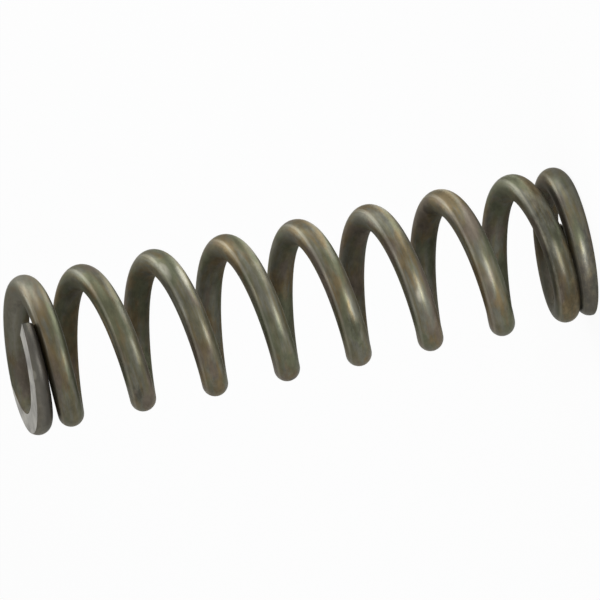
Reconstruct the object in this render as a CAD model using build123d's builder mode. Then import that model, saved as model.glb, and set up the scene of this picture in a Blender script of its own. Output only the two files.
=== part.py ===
from build123d import *

import os
from math import ceil, cos, pi, radians, sin, tan

# Gear shift spring: a compression spring of round steel wire, coiled right-handed, with both ends closed
# and ground flat. It stands on its lower ground end at z = 0, with its axis on +Z.
# Lengths are in millimetres, angles in degrees, and places along the wire in turns from a tip.

# Driving dimensions
wire_diameter = 1.6
coil_diameter = 8.0  # across the coil, between the middles of the wire
active_pitch = 4.53  # rise of the open coils in one turn
total_turns = 9.61  # from the lower tip of the wire to the upper one
tip_clearance = 0.04  # between a tip and the coil that it closes onto
lower_closed_turns = 1.09  # stretch that keeps the closing pitch
lower_opening_turns = 0.75  # stretch over which the pitch grows to the active one
lower_tip_thickness = 0.34  # what the grinding would leave of the wire at its tip if its coil did not lean
upper_closed_turns = 1.05
upper_opening_turns = 0.2
upper_tip_thickness = 0.8
lower_tip_angle = 74.0  # direction of the lower tip, from +X towards +Y
points_per_turn = 24  # places that the middle line of the wire is drawn through

# The end coils, which came off the winding a little wide, a little tight and leaning
end_coil_turns = 0.5  # stretch from each tip that is fully of its own form
end_fading_turns = 1.0  # stretch over which that form is lost
lower_end_diameter = 7.72
upper_end_diameter = 8.2
lower_end_lean = 1.6
lower_lean_angle = 52.0  # direction in which the lower coil dips, from +X towards +Y

closing_pitch = wire_diameter + tip_clearance


def eased(share):
    """Share of an opening stretch that counts as run at the active pitch, once this share of it is passed."""
    if share <= 0:
        return 0
    if share >= 1:
        return share - 1 / 2
    return share**3 - share**4 / 2


def rise(turns, closed_turns, opening_turns):
    """Distance along the axis from a tip to the middle of the wire, this far round from it."""
    opened_turns = opening_turns * eased((turns - closed_turns) / opening_turns)
    return closing_pitch * turns + (active_pitch - closing_pitch) * opened_turns


def lower_rise(turns):
    """Rise of the lower end, this many turns from its tip."""
    return rise(turns, lower_closed_turns, lower_opening_turns)


def upper_rise(turns):
    """Fall of the upper end, this many turns from its tip."""
    return rise(turns, upper_closed_turns, upper_opening_turns)


def end_share(turns):
    """How much of the form of an end coil the wire still has, this many turns from its tip."""
    faded = min(max((turns - end_coil_turns) / end_fading_turns, 0), 1)
    return 1 - faded**2 * (3 - 2 * faded)


# The lower ground face is z = 0, the two ends meet half-way along the wire, and the upper one sets the length
middle_turns = total_turns / 2
lower_tip_height = lower_tip_thickness - wire_diameter / 2
upper_tip_height = lower_tip_height + lower_rise(middle_turns) + upper_rise(middle_turns)
free_length = upper_tip_height - wire_diameter / 2 + upper_tip_thickness


def wire_middle(turns):
    """Point on the middle line of the wire, this many turns from the lower tip."""
    lower_share = end_share(turns)
    upper_share = end_share(total_turns - turns)
    widening = lower_share * (lower_end_diameter - coil_diameter) + upper_share * (upper_end_diameter - coil_diameter)
    radius = (coil_diameter + widening) / 2
    angle = radians(lower_tip_angle) + 2 * pi * turns
    dip = lower_share * radius * cos(angle - radians(lower_lean_angle)) * tan(radians(lower_end_lean))
    if turns < middle_turns:
        height = lower_tip_height + lower_rise(turns)
    else:
        height = upper_tip_height - upper_rise(total_turns - turns)
    return Vector(radius * cos(angle), radius * sin(angle), height - dip)


def stretch(start, end):
    """Spline along the middle of the wire, from one place to another, tangent to what runs on at both."""
    steps = ceil((end - start) * points_per_turn)
    spacing = (end - start) / steps
    points = [wire_middle(start + spacing * step) for step in range(steps + 1)]
    nudge = 1 / points_per_turn / 100
    directions = [wire_middle(place + nudge) - wire_middle(place - nudge) for place in (start, end)]
    return Spline(points, tangents=directions, tangent_scalars=(1, 1))


os.makedirs("parts", exist_ok=True)

# The wire, swept along its middle line turn by turn, with its two ends ground off square to the axis
with BuildPart() as coil_spring:
    with BuildLine() as middle_line:
        for turn in range(ceil(total_turns)):
            stretch(turn, min(turn + 1, total_turns))
    with BuildSketch(Plane(origin=middle_line.line @ 0, z_dir=middle_line.line % 0)):
        Circle(wire_diameter / 2)
    sweep(path=middle_line.line)
    split(bisect_by=Plane.XY, keep=Keep.TOP)
    split(bisect_by=Plane.XY.offset(free_length), keep=Keep.BOTTOM)

coil_spring.part.label = "coil_spring"
export_step(coil_spring.part, "parts/coil_spring.step")
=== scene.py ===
"""Gear shift spring in a light studio.

Its wire is drawn as straight stock, coiled about Z, ground flat at both ends and dressed.
"""

import logging
import math
from dataclasses import dataclass
from enum import Enum

import bpy
import numpy as np
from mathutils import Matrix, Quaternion, Vector


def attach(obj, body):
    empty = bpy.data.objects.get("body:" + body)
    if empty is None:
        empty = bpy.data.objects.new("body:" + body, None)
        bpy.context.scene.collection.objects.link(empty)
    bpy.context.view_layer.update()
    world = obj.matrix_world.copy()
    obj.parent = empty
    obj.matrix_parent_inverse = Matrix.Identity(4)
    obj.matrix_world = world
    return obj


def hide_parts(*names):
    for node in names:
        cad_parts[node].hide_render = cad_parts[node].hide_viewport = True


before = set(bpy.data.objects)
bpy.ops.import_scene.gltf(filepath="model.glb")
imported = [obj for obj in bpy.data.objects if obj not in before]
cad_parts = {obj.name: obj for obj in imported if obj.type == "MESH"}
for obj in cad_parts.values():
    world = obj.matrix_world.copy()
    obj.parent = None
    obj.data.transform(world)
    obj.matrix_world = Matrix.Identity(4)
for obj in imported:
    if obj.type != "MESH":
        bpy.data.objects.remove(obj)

MM = 0.001
NODE = "coil_spring"
STOCK = "stock"  # attribute that keeps each point's place on the straight wire, in millimetres

# What the wire and its finish share, with its sizes in millimetres
WIRE_DIAMETER = 1.6
COIL_DIAMETER = 8.0
TURN_LENGTH = math.pi * COIL_DIAMETER  # straight wire that goes into one turn
TOTAL_TURNS = 9.61  # from the lower tip of the wire to the upper one

# Places of the colour sockets on a Mix node
MIX_FIRST = 6
MIX_SECOND = 7
MIX_RESULT = 2

Colour = tuple[float, float, float]
Axes = tuple[float, float, float]  # one number for each of X, Y and Z
Band = tuple[float, float]  # where a share leaves 0, and where it comes to 1
log = logging.getLogger("spring")


def from_srgb(red: int, green: int, blue: int) -> Colour:
    """Linear colour of three screen values from 0 to 255."""
    shares = (value / 255 for value in (red, green, blue))
    return tuple(x / 12.92 if x <= 0.04045 else ((x + 0.055) / 1.055) ** 2.4 for x in shares)


class End(Enum):
    """The two ground ends of the spring, by the side on which their face looks out along Z."""

    LOWER = -1
    UPPER = 1


class Value:
    """A number in a shader. Python's operators on it add Math nodes."""

    def __init__(self, shader: "Shader", socket: bpy.types.NodeSocket) -> None:
        """Wraps a node's output socket."""
        self.shader = shader
        self.socket = socket

    def math(self, operation: str, *others: "Value | float") -> "Value":
        """This value and others through one Math node."""
        return self.shader.maths(operation, self, *others)

    def __add__(self, other: "Value | float") -> "Value":
        """Sum."""
        return self.math("ADD", other)

    def __sub__(self, other: "Value | float") -> "Value":
        """Difference."""
        return self.math("SUBTRACT", other)

    def __rsub__(self, other: float) -> "Value":
        """Difference, taken from a number."""
        return self.shader.maths("SUBTRACT", other, self)

    def __mul__(self, other: "Value | float") -> "Value":
        """Product."""
        return self.math("MULTIPLY", other)

    def __truediv__(self, other: "Value | float") -> "Value":
        """Quotient."""
        return self.math("DIVIDE", other)

    __radd__ = __add__
    __rmul__ = __mul__

    def between(self, low: float, high: float) -> "Value":
        """How far this value has come from one number to another.

        Args:
            low: Where the share is 0, as it is below.
            high: Where the share is 1, as it is above.

        Returns:
            The share, eased at both.
        """
        node = self.shader.node(
            "ShaderNodeMapRange",
            {"interpolation_type": "SMOOTHSTEP"},
            {"Value": self, "From Min": low, "From Max": high},
        )
        return Value(self.shader, node.outputs["Result"])


# What a node's input socket takes
Input = Value | bpy.types.NodeSocket | float | tuple[float, ...]


@dataclass(frozen=True)
class Grain:
    """A noise in a surface.

    Attributes:
        scale: How fine it is.
        detail: How many layers of finer noise it carries.
        roughness: How strong those are.
        stretch: How much finer or coarser it is along each axis.
        offset: Where in the endless noise it is taken.
    """

    scale: float
    detail: float = 3.0
    roughness: float = 0.55
    stretch: Axes = (1.0, 1.0, 1.0)
    offset: Axes = (0.0, 0.0, 0.0)


class Shader:
    """The node tree of a material or world, built from Python expressions."""

    def __init__(self, owner: bpy.types.Material | bpy.types.World) -> None:
        """Empties the tree of a material or world.

        Args:
            owner: The material or world.
        """
        owner.use_nodes = True
        self.tree = owner.node_tree
        self.tree.nodes.clear()

    def node(
        self,
        kind: str,
        settings: dict[str, str | bool] | None = None,
        inputs: dict[str | int, Input] | None = None,
    ) -> bpy.types.Node:
        """Adds a node.

        Args:
            kind: The node's type.
            settings: Its own settings, which are set first.
            inputs: A number, vector, colour without alpha, Value or output socket for each input
                socket, by name or place.

        Returns:
            The node.
        """
        node = self.tree.nodes.new(kind)
        for key, value in (settings or {}).items():
            setattr(node, key, value)
        for key, value in (inputs or {}).items():
            socket = node.inputs[key]
            source = value.socket if isinstance(value, Value) else value
            if isinstance(source, bpy.types.NodeSocket):
                self.tree.links.new(source, socket)
            elif socket.type == "RGBA":
                socket.default_value = (*source, 1.0)
            else:
                socket.default_value = source
        return node

    def maths(self, operation: str, *values: Value | float) -> Value:
        """One Math node on values and numbers."""
        node = self.node("ShaderNodeMath", {"operation": operation}, dict(enumerate(values)))
        return Value(self, node.outputs[0])

    def vector(self, operation: str, *vectors: Input) -> bpy.types.NodeSocket:
        """One Vector Math node on vectors, which gives a vector."""
        node = self.node("ShaderNodeVectorMath", {"operation": operation}, dict(enumerate(vectors)))
        return node.outputs["Vector"]

    def length(self, vector: Input) -> Value:
        """Length of a vector."""
        node = self.node("ShaderNodeVectorMath", {"operation": "LENGTH"}, {0: vector})
        return Value(self, node.outputs["Value"])

    def scale(self, vector: Input, factor: Value | float) -> bpy.types.NodeSocket:
        """A vector or colour times a number."""
        inputs = {0: vector, "Scale": factor}
        return self.node("ShaderNodeVectorMath", {"operation": "SCALE"}, inputs).outputs["Vector"]

    def noise(self, place: Input, grain: Grain) -> Value:
        """A grain's noise at a place.

        Args:
            place: The place, in the units that the grain's sizes go by.
            grain: The grain.

        Returns:
            The noise, from 0 to 1.
        """
        node = self.node(
            "ShaderNodeTexNoise",
            {"noise_dimensions": "3D"},
            {
                "Vector": self.vector("MULTIPLY_ADD", place, grain.stretch, grain.offset),
                "Scale": grain.scale,
                "Detail": grain.detail,
                "Roughness": grain.roughness,
            },
        )
        return Value(self, node.outputs["Fac"])

    def mix(self, share: Value | float, first: Input, second: Input) -> bpy.types.NodeSocket:
        """Colour between two colours.

        Args:
            share: How much of it is the second colour, from 0 to 1.
            first: The first colour.
            second: The second colour.

        Returns:
            The mixed colour.
        """
        node = self.node(
            "ShaderNodeMix",
            {"data_type": "RGBA", "clamp_factor": True},
            {0: share, MIX_FIRST: first, MIX_SECOND: second},
        )
        return node.outputs[MIX_RESULT]

    def bump(self, height: Value, strength: float, depth: float) -> bpy.types.NodeSocket:
        """Normal of a surface with a fine relief.

        Args:
            height: The relief, from 0 to 1.
            strength: How much of it shows, from 0 to 1.
            depth: From its lowest to its highest, in millimetres.

        Returns:
            The normal.
        """
        node = self.node(
            "ShaderNodeBump",
            inputs={"Strength": strength, "Distance": depth * MM, "Height": height},
        )
        return node.outputs["Normal"]

    def seen(self) -> Value:
        """Tells what the camera sees, straight or in a reflection, from light on its way.

        Returns:
            1 for what is seen, and 0 for light on its way to a surface.
        """
        path = self.node("ShaderNodeLightPath")
        straight = Value(self, path.outputs["Is Camera Ray"])
        glossy = Value(self, path.outputs["Is Glossy Ray"])
        through = Value(self, path.outputs["Is Transmission Ray"])
        return straight.math("MAXIMUM", glossy).math("MAXIMUM", through)

    def principled(self, inputs: dict[str | int, Input]) -> None:
        """Ends a material with one Principled BSDF node."""
        surface = self.node("ShaderNodeBsdfPrincipled", inputs=inputs)
        self.node("ShaderNodeOutputMaterial", inputs={"Surface": surface.outputs[0]})


@dataclass(frozen=True)
class Tint:
    """A colour that lies over others where a noise is high.

    Attributes:
        colour: The colour.
        rising: Where in the noise it begins, and where it is strongest.
        strength: How strong it is there, from 0 to 1.
    """

    colour: Colour
    rising: Band
    strength: float = 1.0

    def over(self, under: Input, noise: Value) -> bpy.types.NodeSocket:
        """This colour over another one, as strong as a noise makes it."""
        return noise.shader.mix(noise.between(*self.rising) * self.strength, under, self.colour)


@dataclass(frozen=True)
class Mark:
    """One marked place on the wire. Marks stand for wear, stains and scuffs, and some for painted
    highlights and painted shade.

    Attributes:
        turns: Place along the wire, from the lower tip.
        around: Place round the wire in degrees, from the side that faces away from the axis
            towards the one that faces the lower end.
        length: Reach along the wire, in millimetres.
        width: Reach across the wire, in millimetres.
        strength: How strong it is at its middle, from 0 to 1.
    """

    turns: float
    around: float
    length: float
    width: float
    strength: float = 1.0


@dataclass(frozen=True)
class WireFinish:
    """Drawn and tempered spring wire under a thin film of old oil.

    Its noises and sizes across the wire are in millimetres of the straight stock, and places
    along the wire are in turns from the lower tip.
    """

    name: str = "spring_wire_drawn"

    # Colours, each over the ones before it
    olive: Colour = from_srgb(99, 94, 74)
    grey: Tint = Tint(from_srgb(103, 102, 91), (0.38, 0.62))
    brown: Tint = Tint(from_srgb(105, 91, 65), (0.47, 0.6), 0.85)
    green: Tint = Tint(from_srgb(91, 94, 74), (0.52, 0.64), 0.8)
    mauve: Tint = Tint(from_srgb(103, 93, 83), (0.53, 0.65), 0.8)
    neutral: Colour = from_srgb(98, 96, 91)  # where it is scuffed
    bare_and_highlight: Colour = from_srgb(176, 172, 158)  # where it is worn, and where a highlight is painted on
    scuffed_share: float = 0.7
    wear_and_highlight_share: float = 0.45

    # Shine
    metallic: float = 0.68
    roughness: float = 0.4
    streak_roughness: float = 0.16  # how much rougher a full streak is than none
    inner_roughness: float = 0.25  # how much rougher the side towards the axis is
    edge_tint: Colour = (0.36, 0.35, 0.31)

    # Light and dark, by which the colours are multiplied
    base_shade: float = 0.22
    line_shade: float = 0.2
    mottling_shade: float = 1.2
    # darkening of the stain marks: real stains, and painted shade
    stain_and_shade_depth: float = 0.4
    inner_shade: float = 0.24  # painted shade on the side towards the axis, inside the coil
    contact_shade: float = 0.42  # painted shade where closed coils touch, and under the upper tip
    tip_shade: float = 0.5  # painted shade on the end face of the upper tip

    # Relief of the drawn lines and of the specks, which have the rest of the height
    line_share: float = 0.6
    bump_strength: float = 0.22
    bump_depth: float = 0.02

    # Grains, most of them drawn out along the wire
    streaks: Grain = Grain(3.2, 4.0, 0.6, stretch=(1.0, 1.0, 0.12))
    lines: Grain = Grain(14.0, 3.0, 0.6, stretch=(1.0, 1.0, 0.12))
    patches: Grain = Grain(1.0, 4.0, 0.65, stretch=(0.9, 0.9, 0.25))
    clouds: Grain = Grain(1.0, stretch=(0.75, 0.75, 0.3), offset=(7.0, 3.0, 5.0))
    mottling: Grain = Grain(2.2, 5.0, 0.7, stretch=(1.0, 1.0, 0.55))
    specks: Grain = Grain(5.0, 2.0, 0.5)

    # Bands across and along the wire
    inner_side: Band = (-0.7, 0.3)  # fades from the side towards the axis to the outer one
    # Stretches of closed coils, where painted shade lies between touching neighbours
    lower_opening: Band = (1.3, 2.0)
    upper_closing: Band = (8.0, 8.6)
    contact_side: Band = (0.3, 0.8)  # across the wire towards either neighbour, where the painted contact shade lies
    # Painted shade on the underside of the coil below the upper tip
    tip_coil: Band = (9.1, 9.4)
    tip_underside: Band = (-0.1, 0.5)
    # Painted shade on the end face of the upper tip
    tip_face: Band = (TOTAL_TURNS - 0.002, TOTAL_TURNS - 0.0005)

    # Marks, with edges that fade over part of their reach and are frayed by the mottling
    mark_edge: Band = (0.35, 1.0)
    fraying: float = 1.6
    wear_and_highlights: tuple[Mark, ...] = (
        Mark(6.677, 324.0, 0.9, 0.26),
        Mark(6.644, 22.0, 1.1, 0.3),
        Mark(9.504, 350.0, 0.35, 0.2),
        Mark(1.5, 60.0, 0.12, 0.1),
        Mark(1.46, 66.0, 0.12, 0.12),
        Mark(8.654, 304.0, 2.2, 0.16),
        Mark(3.5, 350.0, 0.5, 0.2),
        # painted highlight on the crest of the upper end coil
        Mark(8.74, 335.0, 3.6, 1.1, 0.6),
        Mark(9.4, 345.0, 5.0, 0.8, 0.25),
        # painted light on the shaded inner sides of the far strands, here and in the next line
        Mark(8.88, 214.0, 6.0, 1.1, 0.95),
        Mark(1.2, 215.0, 5.0, 1.2, 0.65),
        # painted highlight line along the crests, the whole length of the wire
        Mark(4.8, 314.0, 1000.0, 0.13, 0.42),
    )
    stains_and_shade: tuple[Mark, ...] = (
        # painted shade that dims the highlight on the lower coils, here and in the next line
        Mark(0.3, 0.0, 7.0, 1.6, 0.9),
        Mark(1.5, 355.0, 5.0, 0.9, 1.0),
        Mark(2.796, 248.0, 1.3, 0.6),
        Mark(5.3, 20.0, 1.4, 0.5),
        Mark(7.4, 340.0, 1.0, 0.4),
        Mark(4.45, 10.0, 1.2, 0.4),
        Mark(9.45, 350.0, 5.0, 1.3, 0.4),
    )
    scuffed: tuple[Mark, ...] = (
        Mark(9.45, 350.0, 9.0, 1.5),
        Mark(0.3, 0.0, 8.0, 1.6),
    )

    def mask(self, stock: Input, marks: tuple[Mark, ...], ragged: Value) -> Value:
        """How much each place is marked.

        Args:
            stock: Places on the straight wire, in millimetres.
            marks: Where it is marked.
            ragged: Noise that frays their edges.

        Returns:
            A share that is 0 away from every mark.
        """
        shader = ragged.shader
        radius = WIRE_DIAMETER / 2
        covered = 0.0
        for mark in marks:
            side = math.radians(mark.around)
            centre = (radius * math.cos(side), radius * math.sin(side), mark.turns * TURN_LENGTH)
            away = shader.vector("SUBTRACT", stock, centre)
            reach = (mark.width, mark.width, mark.length)
            distance = shader.length(shader.vector("DIVIDE", away, reach))
            frayed = distance + self.fraying * (ragged - 0.5)
            share = 1 - frayed.between(*self.mark_edge)
            covered = (share * mark.strength).math("MAXIMUM", covered)
        return covered

    def unshaded(self, inside: Value, downward: Value, turns: Value) -> Value:
        """How much painted shade darkens the wire: inside the coil, where closed coils touch, under
        the upper tip and on that tip's end face.

        Args:
            inside: How much a place faces the axis, from 0 to 1.
            downward: Place across the wire towards the lower end, in millimetres.
            turns: Place along the wire.

        Returns:
            A share that is 1 where no shade is painted.
        """
        # Painted shade where closed coils touch and under the upper tip
        closed = (1 - turns.between(*self.lower_opening)) + turns.between(*self.upper_closing)
        contact = closed * downward.math("ABSOLUTE").between(*self.contact_side)
        under_tip = turns.between(*self.tip_coil) * downward.between(*self.tip_underside)
        contact = contact.math("MAXIMUM", under_tip)
        tip = turns.between(*self.tip_face)
        unshaded = (1 - self.inner_shade * inside) * (1 - self.contact_shade * contact)
        return unshaded * (1 - self.tip_shade * tip)

    def make(self) -> bpy.types.Material:
        """Builds the material on the straight wire's own places, so that it follows the coil.

        Returns:
            The material.
        """
        material = bpy.data.materials.new(self.name)
        shader = Shader(material)
        stock = shader.node("ShaderNodeAttribute", {"attribute_name": STOCK}).outputs["Vector"]
        split = shader.node("ShaderNodeSeparateXYZ", inputs={"Vector": stock})
        outward, downward, along = (Value(shader, socket) for socket in split.outputs)
        inside = 1 - outward.between(*self.inner_side)
        streaks = shader.noise(stock, self.streaks)
        lines = shader.noise(stock, self.lines)
        patches = shader.noise(stock, self.patches)
        clouds = shader.noise(stock, self.clouds)
        mottling = shader.noise(stock, self.mottling)
        specks = shader.noise(stock, self.specks)
        # Wear with painted highlights, stains with painted shade, and scuffs
        wear_and_highlights = self.mask(stock, self.wear_and_highlights, mottling)
        stains_and_shade = self.mask(stock, self.stains_and_shade, mottling)
        scuffed = self.mask(stock, self.scuffed, mottling)

        colour = self.grey.over(self.olive, streaks)
        colour = self.brown.over(colour, patches)
        colour = self.green.over(colour, clouds)
        colour = self.mauve.over(colour, 1 - clouds)
        colour = shader.mix(scuffed * self.scuffed_share, colour, self.neutral)
        # Bare metal where worn, and painted highlights on the crests and shaded inner sides
        colour = shader.mix(wear_and_highlights * self.wear_and_highlight_share, colour, self.bare_and_highlight)
        shade = self.base_shade + self.line_shade * lines + self.mottling_shade * mottling
        # Painted shade inside the coil, between touching coils and on the upper tip, with the stain
        # marks' darkening
        unshaded = self.unshaded(inside, downward, along / TURN_LENGTH)
        shade = shade * unshaded * (1 - self.stain_and_shade_depth * stains_and_shade)

        height = lines * self.line_share + specks * (1 - self.line_share)
        rougher = self.streak_roughness * (streaks - 0.5) + self.inner_roughness * inside
        shader.principled(
            {
                "Base Color": shader.scale(colour, shade),
                "Metallic": self.metallic,
                "Roughness": self.roughness + rougher,
                "Specular Tint": self.edge_tint,
                "Normal": shader.bump(height * (1 - inside), self.bump_strength, self.bump_depth),
            }
        )
        return material


@dataclass(frozen=True)
class GroundFinish:
    """Steel left bright by the grinding wheel, with its fine straight scratches along X.

    Attributes:
        scratch_stretch: How fine the scratches are along each axis, for a metre.
        lattice_turn: Turn of the noise below its stretch, in degrees, which keeps the noise's own
            lattice from showing in the scratches.
        bump_depth: Depth of the scratches, in millimetres.
    """

    name: str = "spring_wire_ground"
    dull: Colour = from_srgb(88, 85, 78)
    bright: Tint = Tint(from_srgb(149, 146, 137), (0.36, 0.62))
    metallic: float = 0.8
    roughness: float = 0.42
    patch_roughness: float = 0.1  # how much rougher a full patch is than none
    scratches: Grain = Grain(2.0, 3.0, 0.6)
    scratch_stretch: Axes = (60.0, 4000.0, 1.0)
    lattice_turn: float = 35.0
    scratch_share: float = 0.4  # of the colour, where the patches have the rest
    patches: Grain = Grain(700.0)
    bump_strength: float = 0.1
    bump_depth: float = 0.01

    def make(self) -> bpy.types.Material:
        """Builds the material on Object coordinates.

        Returns:
            The material.
        """
        material = bpy.data.materials.new(self.name)
        shader = Shader(material)
        place = shader.node("ShaderNodeTexCoord").outputs["Object"]
        turn = (0.0, 0.0, math.radians(self.lattice_turn))
        stretched = shader.node(
            "ShaderNodeMapping",
            inputs={"Vector": place, "Rotation": turn, "Scale": self.scratch_stretch},
        )
        scratches = shader.noise(stretched.outputs[0], self.scratches)
        patches = shader.noise(place, self.patches)
        brightness = scratches * self.scratch_share + patches * (1 - self.scratch_share)
        shader.principled(
            {
                "Base Color": self.bright.over(self.dull, brightness),
                "Metallic": self.metallic,
                "Roughness": self.roughness + self.patch_roughness * patches,
                "Normal": shader.bump(scratches, self.bump_strength, self.bump_depth),
            }
        )
        return material


@dataclass
class CoilSpring:
    """The spring: straight wire stock, coiled right-handed about Z and ground flat at both ends.

    Its lengths are in metres, and places and stretches along the wire are in turns.

    Attributes:
        wire_diameter: Across the wire.
        coil_diameter: Across the coil, between the middles of the wire.
        active_pitch: Rise of the open coils in one turn.
        tip_clearance: Between a tip and the coil that it closes onto.
        total_turns: From the lower tip of the wire to the upper one.
        lower_closed_turns: Stretch that keeps the closing pitch.
        lower_opening_turns: Stretch over which the pitch grows to the active one.
        lower_tip_thickness: What the grinding would leave of the tip if its coil did not lean.
        upper_closed_turns: As at the lower end.
        upper_opening_turns: As at the lower end.
        upper_tip_thickness: What the grinding leaves of the tip.
        lower_tip_angle: Direction of the lower tip, in degrees from X towards Y.
        end_coil_turns: Stretch from each tip that is fully of its own form.
        end_fading_turns: Stretch over which that form is lost.
        lower_end_diameter: Across the lower coil, between the middles of the wire.
        upper_end_diameter: Across the upper coil, between the middles of the wire.
        lower_end_lean: How far the lower coil leans, in degrees.
        lower_lean_angle: Direction in which it dips, in degrees from X towards Y.
        around: Faces round the wire.
        along: Numbers of cuts of the two passes that divide the stock along its length.
        smooth_angle: Turn between two faces up to which they are shaded as one, in degrees.
        flatness: Least share of a ground face's normal that lies along Z.
        tolerance: Distance within which two heights count as one.
        cut_tolerance: Distance within which a point counts as lying on a cut.
    """

    wire_diameter: float = WIRE_DIAMETER * MM
    coil_diameter: float = COIL_DIAMETER * MM
    active_pitch: float = 4.545 * MM
    tip_clearance: float = 0.0 * MM
    total_turns: float = TOTAL_TURNS
    lower_closed_turns: float = 1.29
    lower_opening_turns: float = 0.35
    lower_tip_thickness: float = 0.34 * MM
    upper_closed_turns: float = 1.05
    upper_opening_turns: float = 0.2
    upper_tip_thickness: float = 0.8 * MM
    lower_tip_angle: float = 74.0
    end_coil_turns: float = 0.5
    end_fading_turns: float = 1.0
    lower_end_diameter: float = 7.72 * MM
    upper_end_diameter: float = 8.2 * MM
    lower_end_lean: float = 3.0
    lower_lean_angle: float = 75.0
    around: int = 48
    along: tuple[int, int] = (24, 27)
    smooth_angle: float = 35.0
    flatness: float = 0.999
    tolerance: float = 0.001 * MM
    cut_tolerance: float = 0.0001 * MM

    def __post_init__(self) -> None:
        """Works out the heights of the two tips and of the ground faces."""
        middle = np.array([self.total_turns / 2])
        rises = self.rise(middle, End.LOWER)[0] + self.rise(middle, End.UPPER)[0]
        self.lower_tip_height = self.lower_tip_thickness - self.wire_diameter / 2
        self.upper_tip_height = self.lower_tip_height + rises
        upper_tip_base = self.upper_tip_height - self.wire_diameter / 2
        self.free_length = upper_tip_base + self.upper_tip_thickness
        self.wire_length = self.total_turns * math.pi * self.coil_diameter

    def rise(self, turns: np.ndarray, end: End) -> np.ndarray:
        """Distance along the axis from a tip to the middle of the wire.

        Args:
            turns: Places along the wire, from that tip.
            end: The end whose tip it is.

        Returns:
            One distance for each place, in metres.
        """
        if end is End.LOWER:
            closed, opening = self.lower_closed_turns, self.lower_opening_turns
        else:
            closed, opening = self.upper_closed_turns, self.upper_opening_turns
        closing_pitch = self.wire_diameter + self.tip_clearance
        share = (turns - closed) / opening
        part = np.clip(share, 0, 1)
        opened = opening * (part**3 - part**4 / 2 + np.maximum(share - 1, 0))
        return closing_pitch * turns + (self.active_pitch - closing_pitch) * opened

    def end_share(self, turns: np.ndarray) -> np.ndarray:
        """How much of an end coil's form the wire still has, these many turns from its tip."""
        faded = np.clip((turns - self.end_coil_turns) / self.end_fading_turns, 0, 1)
        return 1 - faded**2 * (3 - 2 * faded)

    def middle(self, turns: np.ndarray) -> np.ndarray:
        """Points on the middle line of the wire.

        Args:
            turns: Places along the wire, from the lower tip.

        Returns:
            One point in a row for each place, in metres.
        """
        lower_share = self.end_share(turns)
        upper_share = self.end_share(self.total_turns - turns)
        radius = (
            self.coil_diameter
            + lower_share * (self.lower_end_diameter - self.coil_diameter)
            + upper_share * (self.upper_end_diameter - self.coil_diameter)
        ) / 2
        angle = math.radians(self.lower_tip_angle) + 2 * math.pi * turns
        slope = math.tan(math.radians(self.lower_end_lean))
        dip = lower_share * slope * radius * np.cos(angle - math.radians(self.lower_lean_angle))
        height = np.where(
            turns < self.total_turns / 2,
            self.lower_tip_height + self.rise(turns, End.LOWER),
            self.upper_tip_height - self.rise(self.total_turns - turns, End.UPPER),
        )
        return np.stack([radius * np.cos(angle), radius * np.sin(angle), height - dip], axis=1)

    def draw_stock(self) -> bpy.types.Object:
        """Makes the straight wire along Z, from the lower tip at 0, divided evenly along it.

        Returns:
            The wire.
        """
        bpy.ops.object.select_all(action="DESELECT")
        bpy.ops.mesh.primitive_cylinder_add(
            vertices=self.around,
            radius=self.wire_diameter / 2,
            depth=self.wire_length,
            location=(0, 0, self.wire_length / 2),
        )
        wire = bpy.context.active_object
        wire.name = wire.data.name = "spring_wire"
        bpy.ops.object.transform_apply(location=True)
        bpy.ops.object.mode_set(mode="EDIT")
        bpy.ops.mesh.select_mode(type="EDGE")
        for cuts in self.along:
            bpy.ops.mesh.select_all(action="DESELECT")
            bpy.ops.object.mode_set(mode="OBJECT")
            points = wire.data.vertices
            for edge in wire.data.edges:
                first, second = (points[i].co for i in edge.vertices)
                edge.select = abs(first.z - second.z) > self.tolerance
            bpy.ops.object.mode_set(mode="EDIT")
            bpy.ops.mesh.subdivide(number_cuts=cuts)
        bpy.ops.object.mode_set(mode="OBJECT")
        return wire

    def coil(self, wire: bpy.types.Object) -> None:
        """Bends the straight wire round the axis, and keeps each point's old place.

        Args:
            wire: The straight wire.
        """
        mesh = wire.data
        stock = np.empty(len(mesh.vertices) * 3, np.float32)
        mesh.vertices.foreach_get("co", stock)
        kept = mesh.attributes.new(STOCK, "FLOAT_VECTOR", "POINT")
        kept.data.foreach_set("vector", stock / MM)
        stock = stock.reshape(-1, 3).astype(float)
        turns = stock[:, 2] / self.wire_length * self.total_turns
        middle = self.middle(turns)
        nudge = 1e-4  # in turns
        tangent = self.middle(turns + nudge) - self.middle(turns - nudge)
        tangent /= np.linalg.norm(tangent, axis=1, keepdims=True)
        outward = middle * (1, 1, 0)
        outward /= np.linalg.norm(outward, axis=1, keepdims=True)
        downward = np.cross(tangent, outward)
        outward = np.cross(downward, tangent)
        coiled = middle + stock[:, :1] * outward + stock[:, 1:2] * downward
        mesh.vertices.foreach_set("co", coiled.astype(np.float32).ravel())
        mesh.update()

    def grind(self, wire: bpy.types.Object) -> None:
        """Cuts both ends off square to the axis and closes the cuts.

        Args:
            wire: The coiled wire.
        """
        bpy.ops.object.mode_set(mode="EDIT")
        bpy.ops.mesh.select_mode(type="FACE")
        for end, height in ((End.LOWER, 0.0), (End.UPPER, self.free_length)):
            bpy.ops.mesh.select_all(action="SELECT")
            bpy.ops.mesh.bisect(
                plane_co=(0, 0, height),
                plane_no=(0, 0, end.value),
                use_fill=True,
                clear_outer=True,
                threshold=self.cut_tolerance,
            )
        bpy.ops.object.mode_set(mode="OBJECT")

    def is_ground(self, face: bpy.types.MeshPolygon) -> bool:
        """Whether a face lies on one of the ground planes."""
        off_plane = min(abs(face.center.z), abs(face.center.z - self.free_length))
        return off_plane < self.tolerance and abs(face.normal.z) > self.flatness

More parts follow.
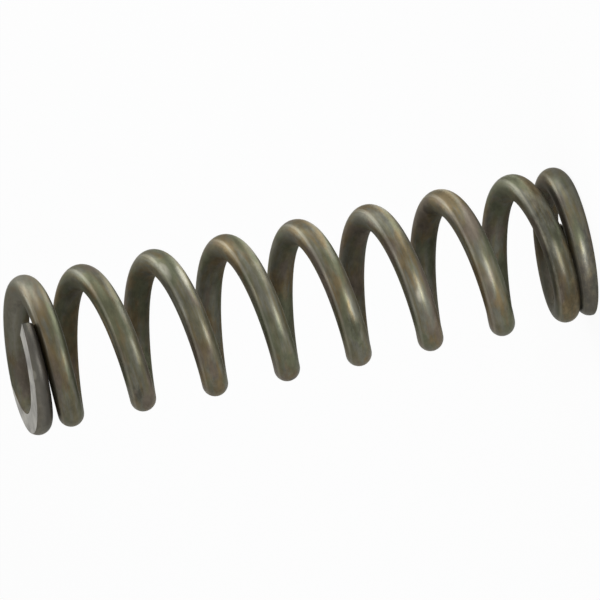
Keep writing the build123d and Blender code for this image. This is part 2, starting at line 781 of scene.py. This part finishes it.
    def dress(self, wire: bpy.types.Object) -> None:
        """Gives the wire its drawn finish and the ground faces theirs, and shades it smooth.

        Args:
            wire: The ground wire.
        """
        for finish in (WireFinish(), GroundFinish()):
            wire.data.materials.append(finish.make())
        for face in wire.data.polygons:
            face.material_index = int(self.is_ground(face))
        bpy.ops.object.select_all(action="DESELECT")
        wire.select_set(True)
        bpy.context.view_layer.objects.active = wire
        bpy.ops.object.shade_smooth_by_angle(angle=math.radians(self.smooth_angle))

    def build(self) -> bpy.types.Object:
        """Makes the finished wire, in place of the CAD node.

        Returns:
            The wire.
        """
        wire = self.draw_stock()
        self.coil(wire)
        self.grind(wire)
        self.dress(wire)
        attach(wire, "root")
        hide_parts(NODE)
        return wire


@dataclass(frozen=True)
class Lamp:
    """A soft box that shines at the middle of the spring.

    Attributes:
        name: What it does.
        direction: Where it stands, seen from the spring.
        distance: How far from the spring, in metres.
        size: Width and height, in metres.
        power: In watts.
        lying: Whether it lies on its back and shines upwards instead.
        colour: Its light, a little cool.
    """

    name: str
    direction: Axes
    distance: float
    size: tuple[float, float]
    power: float
    lying: bool = False
    colour: Colour = (0.95, 0.975, 1.0)

    def hang(self, target: Vector) -> None:
        """Adds the lamp, turned to its target or lying on its back.

        Args:
            target: The middle of the spring.
        """
        data = bpy.data.lights.new(self.name, "AREA")
        data.shape = "RECTANGLE"
        data.size, data.size_y = self.size
        data.energy = self.power
        data.color = self.colour
        lamp = bpy.data.objects.new(self.name, data)
        bpy.context.scene.collection.objects.link(lamp)
        back = Vector(self.direction).normalized()
        lamp.location = target + back * self.distance
        if self.lying:
            lamp.rotation_euler = (math.pi, 0.0, 0.0)
        else:
            lamp.rotation_euler = back.to_track_quat("Z", "Y").to_euler()


@dataclass
class Studio:
    """Pale floor, soft lamps and a long lens, turned so that the standing spring lies across.

    Attributes:
        aim: Point that the camera looks at, in metres.
        elevation: Height of the camera over that point, in degrees.
        roll: Turn of the camera about its line of sight, in degrees.
        distance: From the camera to the point that it looks at, in metres.
        lens: Focal length, in millimetres.
        sensor: Width of the sensor, in millimetres.
        clip: Nearest and furthest that the camera sees, in metres.
        floor_size: Length of the floor's sides, in metres.
        floor_colour: What the floor reflects.
        floor_white: How much of what is seen of the floor is white of its own.
        ambient: How strongly the world lights the spring, where 1 is how white it looks.
        lamps: The lamps.
    """

    aim: Vector = Vector((-0.095 * MM, 0.027 * MM, 17.627 * MM))
    elevation: float = 10.446
    roll: float = -101.817
    distance: float = 1.2187
    lens: float = 1200.0
    sensor: float = 36.0
    clip: tuple[float, float] = (0.1, 50.0)
    floor_size: float = 12.0
    floor_colour: Colour = (0.9, 0.9, 0.9)
    floor_white: float = 0.93
    ambient: float = 0.43
    lamps: tuple[Lamp, ...] = (
        Lamp("soft_above", (0.97, -0.02, 0.25), 0.35, (0.3, 0.15), 0.28),
        Lamp("soft_left", (0.6, 0.48, 0.64), 0.35, (0.2, 0.2), 0.52),
        Lamp("glint_top", (0.1, -0.35, 0.93), 0.35, (0.06, 0.06), 0.1),
        Lamp("panel_front", (-8.0, -24.0, -15.2), 0.0295, (0.016, 0.004), 0.005),
        Lamp("panel_floor", (28.0, 7.0, -16.4), 0.0332, (0.03, 0.06), 0.018, lying=True),
    )

    def place_camera(self) -> None:
        """Adds the camera at the photograph's angle."""
        data = bpy.data.cameras.new("camera")
        data.lens = self.lens
        data.sensor_width = self.sensor
        data.clip_start, data.clip_end = self.clip
        camera = bpy.data.objects.new("camera", data)
        bpy.context.scene.collection.objects.link(camera)
        tilt = math.radians(self.elevation)
        back = Vector((0.0, -math.cos(tilt), math.sin(tilt)))
        camera.location = self.aim + back * self.distance
        camera.rotation_mode = "QUATERNION"
        level = (-back).to_track_quat("-Z", "Y")
        camera.rotation_quaternion = level @ Quaternion((0, 0, 1), math.radians(self.roll))
        bpy.context.scene.camera = camera

    def lay_floor(self) -> None:
        """Adds the pale floor that the spring stands on, which keeps its shadow."""
        bpy.ops.object.select_all(action="DESELECT")
        bpy.ops.mesh.primitive_plane_add(size=self.floor_size, location=(0, 0, 0))
        floor = bpy.context.active_object
        floor.name = "floor"
        material = bpy.data.materials.new("floor_pale")
        shader = Shader(material)
        matt = shader.node("ShaderNodeBsdfDiffuse", inputs={"Color": self.floor_colour})
        white = shader.node("ShaderNodeEmission", inputs={"Strength": 1.0})
        share = shader.seen() * self.floor_white
        mixed = shader.node(
            "ShaderNodeMixShader",
            inputs={0: share, 1: matt.outputs[0], 2: white.outputs[0]},
        )
        shader.node("ShaderNodeOutputMaterial", inputs={"Surface": mixed.outputs[0]})
        floor.data.materials.append(material)

    def light(self) -> None:
        """Hangs the lamps and sets a world that looks white and lights softly."""
        for lamp in self.lamps:
            lamp.hang(self.aim)
        world = bpy.data.worlds.new("world")
        bpy.context.scene.world = world
        shader = Shader(world)
        strength = self.ambient + (1 - self.ambient) * shader.seen()
        background = shader.node(
            "ShaderNodeBackground",
            inputs={"Color": (1.0, 1.0, 1.0), "Strength": strength},
        )
        shader.node("ShaderNodeOutputWorld", inputs={"Surface": background.outputs[0]})

    def build(self) -> None:
        """Sets the whole stage."""
        self.lay_floor()
        self.light()
        self.place_camera()
        bpy.context.scene.view_settings.view_transform = "Standard"


def main() -> None:
    """Builds the spring and its studio."""
    logging.basicConfig(level=logging.INFO, format="%(name)s: %(message)s")
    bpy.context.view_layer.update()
    spring = CoilSpring()
    wire = spring.build()
    faces = wire.data.polygons
    ground = sum(map(spring.is_ground, faces))
    log.info("%s: %d faces, %d of them ground", wire.name, len(faces), ground)
    studio = Studio()
    studio.build()
    log.info("studio: %d lamps", len(studio.lamps))


if __name__ == "__main__":
    main()
